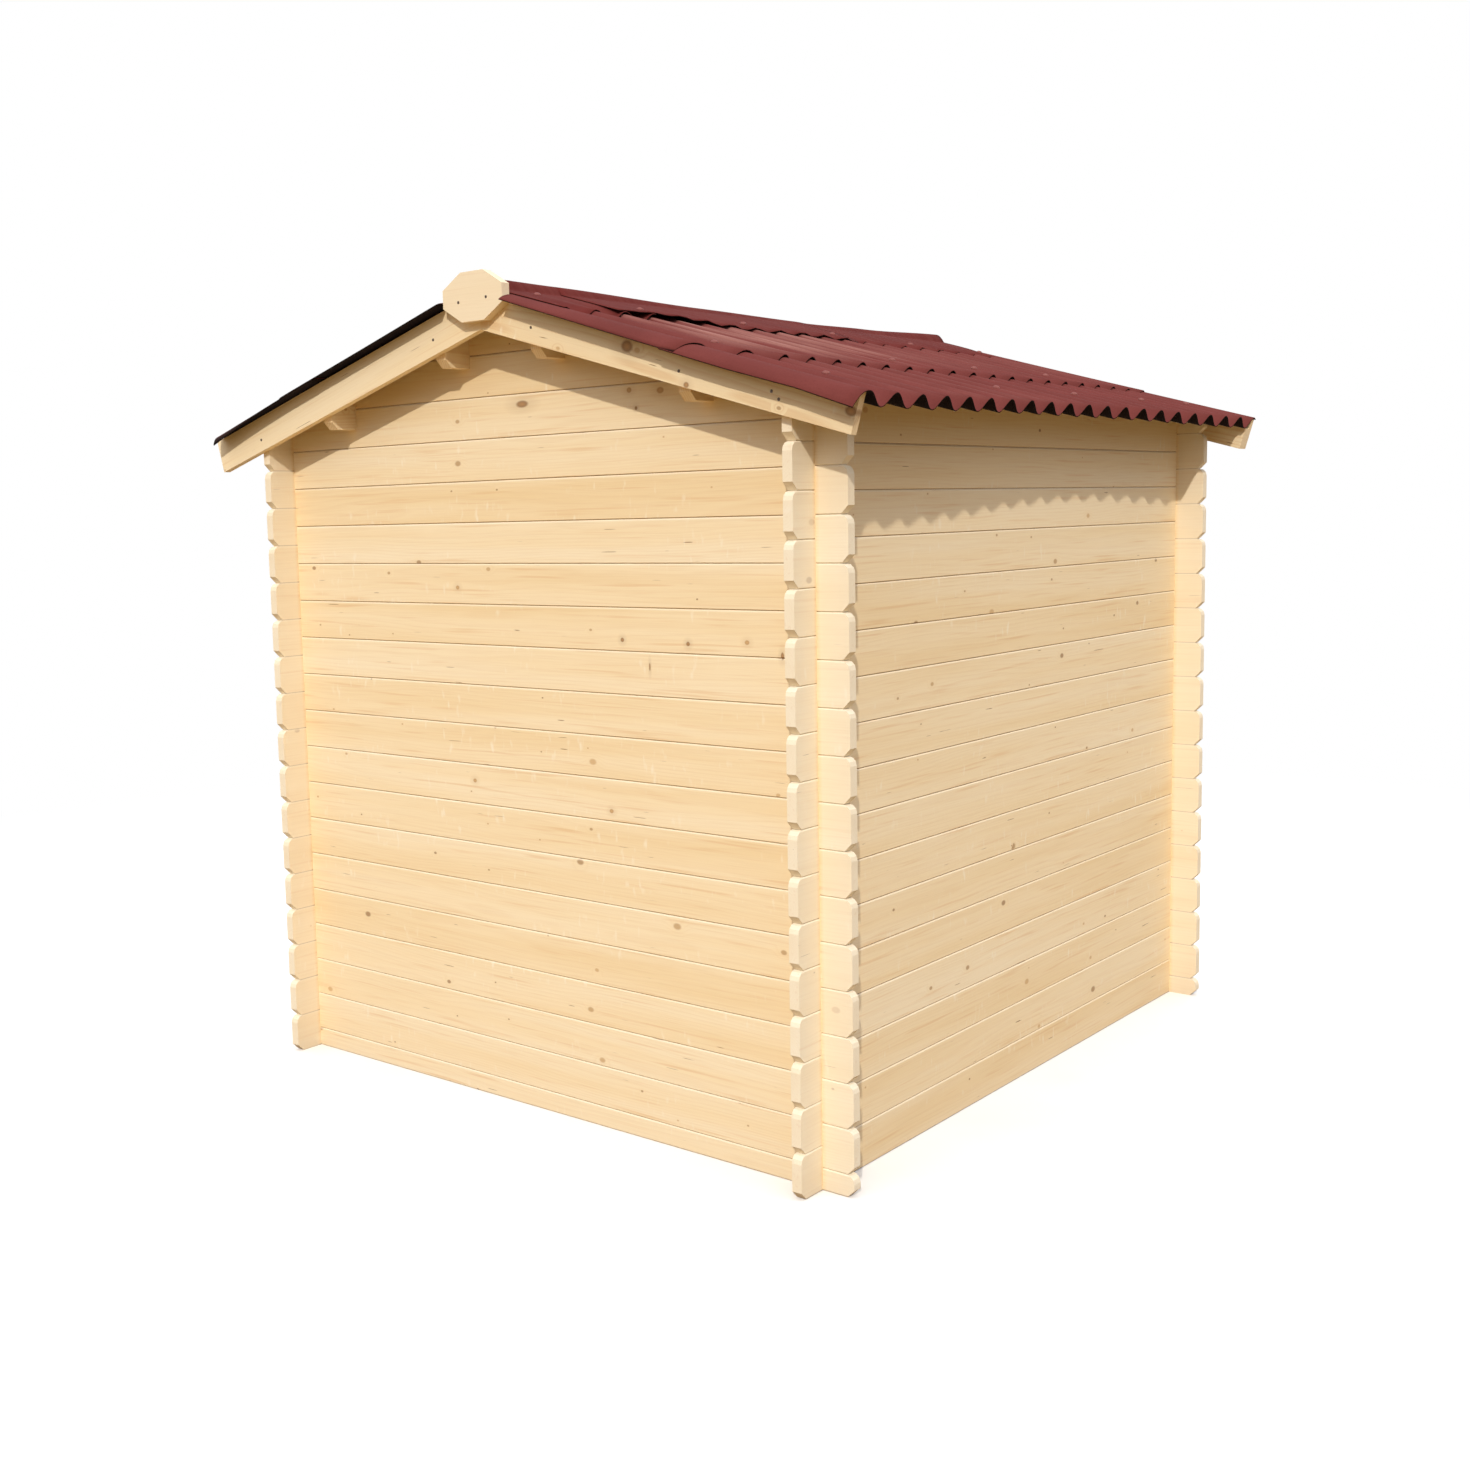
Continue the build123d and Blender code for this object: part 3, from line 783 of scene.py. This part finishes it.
# %% Capped roof nails
# The caps are moulded in a red a little paler than the sheet.
first_crest = -1.183
moulded_finish = speckled("Red moulded nail cap", 300.0, ((0.35, "#7F423D"), (0.65, "#90564F")),
                          (0.2, 0.0004), {"Roughness": 0.6, "Specular IOR Level": 0.3})
dome_profile = [(0.0, 0.0055), (0.004, 0.0051), (0.0075, 0.0036),
                (0.0100, 0.0008), (0.0103, -0.004), (0.0, -0.004)]
nail_rows = ((1.000, lower_crest, (1, 8, 12, 16, 19)), (0.672, upper_crest, (1, 8, 12, 16)))
cap_nails = ((0.25, 3), (0.25, 7), (0.25, 11), (0.25, 15), (0.25, 19), (0.09, 1))
places = []
for side in (-1, 1):
    facing = (side * fall, 0, run)
    for out, high, crests in nail_rows:
        places += [(on_roof(side, out, first_crest + wave_pitch * k, high), facing) for k in crests]
    for out, k in cap_nails:
        y = first_crest + wave_pitch * k
        # The third to twelfth crests lie under the middle cap, which is one layer up.
        over = layer_step + cap_thick if 2 < k < 13 else cap_thick
        high = crest_line - roof_slope * out + wing_lift(y) * wing_share(out) + over
        places.append(((side * out, y, high), facing))
made = spun_heads("capped_roof_nails", dome_profile, places, moulded_finish)

# %% [markdown]
# ## Door boards, hinges and handle
# The door is on the gable that faces away. Its leaf is a row of upright boards with
# eased edges, so each board is a cube with its long edges bevelled and the leaf shows
# a vee at every joint. Hinges and handle are zinc-plated steel.

# %% Door leaf
leaf_low, leaf_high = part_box("door_leaf")
board_count, joint_gap, eased = 7, 0.0004, 0.003
board_wide = (leaf_high.x - leaf_low.x) / board_count
board_size = (board_wide - joint_gap, leaf_high.y - leaf_low.y, leaf_high.z - leaf_low.z)
middle = (leaf_low + leaf_high) / 2
bm = bmesh.new()
for index in range(board_count):
    made = bmesh.ops.create_cube(bm, size=1.0)["verts"]
    bmesh.ops.scale(bm, vec=board_size, verts=made)
    board_x = leaf_low.x + (index + 0.5) * board_wide
    bmesh.ops.translate(bm, vec=(board_x, middle.y, middle.z), verts=made)
    long_edges = [e for e in {e for v in made for e in v.link_edges}
                  if abs(e.verts[0].co.z - e.verts[1].co.z) > 0.1]
    bmesh.ops.bevel(bm, geom=long_edges, offset=eased, affect="EDGES",
                    segments=1, profile=0.5, material=-1)
leaf_finish = spruce_finish("Planed spruce door boards", "z", ["door_leaf"],
                            board_wide, leaf_high.x, 30)
leaf = finished("door_boards", bm, leaf_finish)
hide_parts("door_leaf")
print("door boards", board_count, "of", round(board_wide * 1000), "mm")

# %% Zinc-plated steel
zinc_finish, tree = new_material("Zinc plated steel")
where = node(tree, "TexCoord", out=3)
spangle = node(tree, "TexVoronoi", {"Vector": where, "Scale": 220.0}, out=1)
spangle = node(tree, "SeparateColor", {0: spangle}, out=0)
tone = node(tree, "ValToRGB", {0: spangle}, stops=[(0.0, linear("#A9ACAE")), (1.0, linear("#C4C6C6"))])
rough = ranged(tree, spangle, 0.0, 1.0, 0.34, 0.48)
surfaced(tree, spangle, 0.15, 0.0002, {"Base Color": tone, "Metallic": 1.0, "Roughness": rough})
dress(("upper_door_hinge", "lower_door_hinge", "door_handle"), zinc_finish)
print("zinc on hinges and handle")

# %% Finish
bpy.context.view_layer.update()
